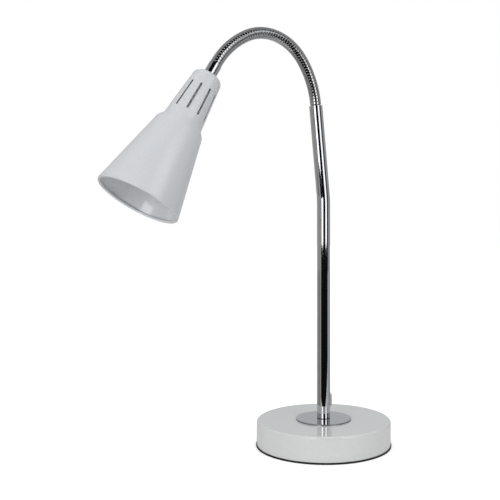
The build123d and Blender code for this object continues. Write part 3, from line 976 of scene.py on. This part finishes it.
# %% Floor
floor_size, floor_height = 12, -0.0002
bpy.ops.object.select_all(action="DESELECT")
bpy.ops.mesh.primitive_plane_add(size=floor_size, location=(0, 0, floor_height))
floor = bpy.context.object
floor.name = "floor"
paper = bpy.data.materials.new("floor_paper")
paper.use_nodes = True
tree = paper.node_tree
paper_shader = tree.nodes["Principled BSDF"]
paper_shader.inputs["Base Color"].default_value = (0.8, 0.8, 0.8, 1)
paper_shader.inputs["Roughness"].default_value = 0.9
paper_shader.inputs["Emission Color"].default_value = (1, 1, 1, 1)
rays = tree.nodes.new("ShaderNodeLightPath")
spread = tree.nodes.new("ShaderNodeTexCoord")
from_lamp = tree.nodes.new("ShaderNodeVectorMath")
from_lamp.operation = "LENGTH"
more_far_off = tree.nodes.new("ShaderNodeMapRange")
more_far_off.inputs["From Min"].default_value = 0.2
more_far_off.inputs["From Max"].default_value = 1.2
more_far_off.inputs["To Min"].default_value = 0.5
more_far_off.inputs["To Max"].default_value = 0.9
lift = tree.nodes.new("ShaderNodeMath")
lift.operation = "MULTIPLY"
tree.links.new(spread.outputs["Object"], from_lamp.inputs[0])
tree.links.new(from_lamp.outputs["Value"], more_far_off.inputs["Value"])
tree.links.new(more_far_off.outputs["Result"], lift.inputs[1])
tree.links.new(rays.outputs["Is Camera Ray"], lift.inputs[0])
tree.links.new(lift.outputs[0], paper_shader.inputs["Emission Strength"])
floor.data.materials.append(paper)
print("floor at", floor_height)


# %% Helpers: cards that only reflections see
wall_turn = 15  # degrees from one panel of a wall to the next


def card_material(name, colour, glow_strength):
    """A plain glowing card. At a strength near nothing it is a black card."""
    material = bpy.data.materials.new(name)
    material.use_nodes = True
    tree = material.node_tree
    tree.nodes.clear()
    glow = tree.nodes.new("ShaderNodeEmission")
    glow.inputs["Color"].default_value = (*colour, 1)
    glow.inputs["Strength"].default_value = glow_strength
    out = tree.nodes.new("ShaderNodeOutputMaterial")
    tree.links.new(glow.outputs["Emission"], out.inputs["Surface"])
    return material


def card(name, corners, material):
    """A flat polygon of the studio."""
    mesh = bpy.data.meshes.new(name)
    mesh.from_pydata(corners, [], [list(range(len(corners)))])
    made = bpy.data.objects.new(name, mesh)
    bpy.context.scene.collection.objects.link(made)
    mesh.materials.append(material)
    made.visible_camera = False
    made.visible_diffuse = False
    made.visible_transmission = False
    made.visible_shadow = False
    made.visible_volume_scatter = False


def upright_card(name, one, two, tall, material):
    """A card that stands on the line between two points."""
    high = Vector((0, 0, tall))
    card(name, [one, two, two + high, one + high], material)


def spot_at(azimuth, distance, height):
    """A point seen from the stem. The azimuth is in degrees from the camera, positive to the right."""
    angle = radians(azimuth)
    return -ahead * distance * cos(angle) + to_right * distance * sin(angle) + Vector((0, 0, height))


def azimuths(start, end):
    """Directions from start to end in about equal steps."""
    steps = max(1, round((end - start) / wall_turn))
    return [start + (end - start) * step / steps for step in range(steps + 1)]


print("wall panels turn by about", wall_turn, "degrees")

# %% Walls and floor of the room
wall_away, wall_high, just_above = 3.2, 4.0, 0.0003
table_r, table_edge = 0.20, 0.185
dark_start, dark_end = -46, 72
cool, warm = (0.95, 0.98, 1.0), (1.0, 0.98, 0.92)
paints = {}
for name, start, end, floor_glow, wall_glow, tint in (
    ("right_near", dark_end, 90, 0.40, 0.14, cool),
    ("right", 90, 108, 0.50, 0.45, cool),
    ("right_far", 108, 150, 0.31, 0.40, warm),
    ("back", 150, 210, 0.54, 0.54, cool),
    ("left_far", 210, 265, 0.34, 0.42, warm),
    ("left_dim", 265, 290, 0.24, 0.36, warm),
    ("left", 290, 360 + dark_start, 0.36, 0.42, warm),
    ("dark", dark_start, dark_end, 0.006, 0.006, cool),
):
    paints[name] = card_material(f"{name}_wall", tint, wall_glow)
    ground = card_material(f"{name}_floor", tint, floor_glow)
    outer = [spot_at(a, wall_away, 0) for a in azimuths(start, end)]
    for number, (one, two) in enumerate(zip(outer, outer[1:])):
        upright_card(f"{name}_wall_{number + 1}", one, two, wall_high, paints[name])
    if name == "dark":
        near = [spot_at(a, table_edge / cos(radians(a)), just_above) for a in (start, end)]
    else:
        near = [spot_at(a, table_r, just_above) for a in azimuths(start, end)]
    far = [spot_at(a, wall_away, just_above) for a in reversed(azimuths(start, end))]
    card(f"{name}_floor", near + far, ground)
print("sides of the room", list(paints))

# %% Ceiling, and a pale screen between the dark side and the right wall
screen_away, screen_low, screen_tall = 3.1, 1.0, 1.5
screen_ends = [spot_at(a, screen_away, screen_low) for a in (64, 76)]
upright_card("screen_right", *screen_ends, screen_tall, card_material("pale_screen", cool, 0.85))
below_ceiling, dark_from = wall_high - just_above, 1.0
ceiling = card_material("grey_ceiling", (0.97, 0.98, 1.0), 0.35)
card("ceiling", [spot_at(a, wall_away, wall_high) for a in range(0, 360, wall_turn)], ceiling)
dark_side = azimuths(dark_start, dark_end)
front_arc = [spot_at(a, dark_from, below_ceiling) for a in dark_side]
far_arc = [spot_at(a, wall_away, below_ceiling) for a in reversed(dark_side)]
card("dark_ceiling", front_arc + far_arc, paints["dark"])
print("ceiling at", wall_high)

# %% Softboxes
box_away, box_low = 1.6, 0.19
for name, left, right, tall, glow in (
    ("softbox_left", -36, -9, 1.1, 2.1),
    ("softbox_right", 30, 57, 1.5, 1.65),
):
    one, two = spot_at(left, box_away, box_low), spot_at(right, box_away, box_low)
    upright_card(name, one, two, tall, card_material(name, (1, 1, 1), glow))
print("softboxes are", box_away, "from the stem")

# %% Lamps, which reflections don't see
aim_at = Vector((0, 0, 0.2))
for name, azimuth, distance, height, size, watts in (
    ("lamp_left", -34, 1.7, 0.45, 0.8, 7.4),
    ("lamp_right", 48, 1.7, 0.6, 0.8, 4.5),
    ("lamp_top", 0, 0.1, 2.0, 1.4, 10.5),
):
    light = bpy.data.lights.new(name, "AREA")
    light.size = size
    light.energy = watts
    lamp = bpy.data.objects.new(name, light)
    bpy.context.scene.collection.objects.link(lamp)
    lamp.location = spot_at(azimuth, distance, height)
    aim = aim_at - lamp.location
    lamp.rotation_euler = aim.to_track_quat("-Z", "Y").to_euler()
    lamp.visible_camera = False
    lamp.visible_glossy = False
    lamp.visible_transmission = False

# %% Colour management
bpy.context.scene.view_settings.view_transform = "Standard"
print("view transform", bpy.context.scene.view_settings.view_transform)
